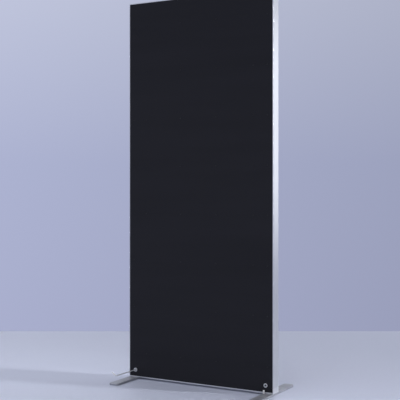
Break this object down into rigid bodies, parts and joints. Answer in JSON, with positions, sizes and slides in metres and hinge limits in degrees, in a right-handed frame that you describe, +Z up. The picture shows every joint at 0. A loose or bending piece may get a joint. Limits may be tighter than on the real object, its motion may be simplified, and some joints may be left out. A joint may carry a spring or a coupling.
{
  "type": "partition wall",
  "caption": "Free-standing exhibition partition wall: black boards screwed to both faces of an aluminium frame on flat steel feet, with clamp screws, levelling screws and a hexagon key.",
  "frame": {"origin": "on the floor, under the middle of the wall", "axes": "+X along the wall to the right as seen from the front, -Y out of the front face, +Z up"},
  "size_m": [1, 0.52, 2.362],
  "materials": {
    "satin_aluminium": "satin anodised extrusion",
    "cap_aluminium": "bead-blasted, lighter than the extrusions",
    "cast_aluminium": "as machined",
    "black_board": "fibreboard with a matt black finish",
    "black_screw": "black oxide, satin",
    "zinc_screw": "zinc plated",
    "foot_steel": "satin, fine grain along the bar",
    "bright_steel": "satin nickel",
    "nylon": "natural nylon"
  },
  "bodies": {
    "wall": {"bottom_left_corner_block": "cast_aluminium", "bottom_left_end_cap": "cap_aluminium", "bottom_rail": "satin_aluminium", "bottom_right_corner_block": "cast_aluminium", "bottom_right_end_cap": "cap_aluminium", "cleat_screws": "zinc_screw", "corner_block_screws": "zinc_screw", "crossbar_1": "satin_aluminium", "crossbar_2": "satin_aluminium", "crossbar_3": "satin_aluminium", "crossbar_4": "satin_aluminium", "crossbar_5": "satin_aluminium", "crossbar_6": "satin_aluminium", "crossbar_7": "satin_aluminium", "crossbar_8": "satin_aluminium", "crossbar_cleats": "satin_aluminium", "foot_post_screws": "zinc_screw", "front_board": "black_board", "front_board_screws": "black_screw", "left_foot_bar": "foot_steel", "left_foot_post": "foot_steel", "left_key_bush": "bright_steel", "left_stile_lower": "satin_aluminium", "left_stile_splice": "satin_aluminium", "left_stile_upper": "satin_aluminium", "rear_board": "black_board", "rear_board_screws": "black_screw", "right_foot_bar": "foot_steel", "right_foot_post": "foot_steel", "right_key_bush": "bright_steel", "right_stile_lower": "satin_aluminium", "right_stile_splice": "satin_aluminium", "right_stile_upper": "satin_aluminium", "splice_screws": "zinc_screw", "top_left_corner_block": "cast_aluminium", "top_left_end_cap": "cap_aluminium", "top_rail": "satin_aluminium", "top_right_corner_block": "cast_aluminium", "top_right_end_cap": "cap_aluminium"},
    "left_clamp_washer": {"left_clamp_washer": "zinc_screw"},
    "left_clamp_screw": {"left_clamp_screw": "black_screw"},
    "hex_key": {"hex_key": "bright_steel"},
    "right_clamp_washer": {"right_clamp_washer": "zinc_screw"},
    "right_clamp_screw": {"right_clamp_screw": "black_screw"},
    "left_level_pad": {"left_level_pad": "nylon"},
    "left_level_screw": {"left_level_screw": "bright_steel"},
    "right_level_pad": {"right_level_pad": "nylon"},
    "right_level_screw": {"right_level_screw": "bright_steel"}
  },
  "joints": [
    {"name": "left_clamp_draw", "type": "slide", "parent": "wall", "child": "left_clamp_washer", "axis": [0, -1, 0], "range_m": [0, 0.005]},
    {"name": "left_clamp_turn", "type": "hinge", "parent": "left_clamp_washer", "child": "left_clamp_screw", "pos_m": [-0.451, -0.035, 0.058], "axis": [0, -1, 0], "range_deg": [0, 1450]},
    {"name": "right_clamp_draw", "type": "slide", "parent": "wall", "child": "right_clamp_washer", "axis": [0, -1, 0], "range_m": [0, 0.005]},
    {"name": "right_clamp_turn", "type": "hinge", "parent": "right_clamp_washer", "child": "right_clamp_screw", "pos_m": [0.451, -0.035, 0.058], "axis": [0, -1, 0], "range_deg": [0, 1450]},
    {"name": "hex_key_pull", "type": "slide", "parent": "left_clamp_screw", "child": "hex_key", "axis": [0, -1, 0], "range_m": [0, 0.06]},
    {"name": "left_level_drop", "type": "slide", "parent": "wall", "child": "left_level_pad", "axis": [0, 0, -1], "range_m": [0, 0.00875]},
    {"name": "left_level_turn", "type": "hinge", "parent": "left_level_pad", "child": "left_level_screw", "pos_m": [-0.444, 0.047, 0.012], "axis": [0, 0, -1], "range_deg": [0, 1810]},
    {"name": "right_level_drop", "type": "slide", "parent": "wall", "child": "right_level_pad", "axis": [0, 0, -1], "range_m": [0, 0.00875]},
    {"name": "right_level_turn", "type": "hinge", "parent": "right_level_pad", "child": "right_level_screw", "pos_m": [0.444, -0.047, 0.012], "axis": [0, 0, -1], "range_deg": [0, 1810]}
  ],
  "couplings": [
    {"joint": "left_clamp_turn", "follows": "left_clamp_draw", "rad_per_m": 5026.5},
    {"joint": "right_clamp_turn", "follows": "right_clamp_draw", "rad_per_m": 5026.5},
    {"joint": "left_level_turn", "follows": "left_level_drop", "rad_per_m": 3590.4},
    {"joint": "right_level_turn", "follows": "right_level_drop", "rad_per_m": 3590.4}
  ]
}
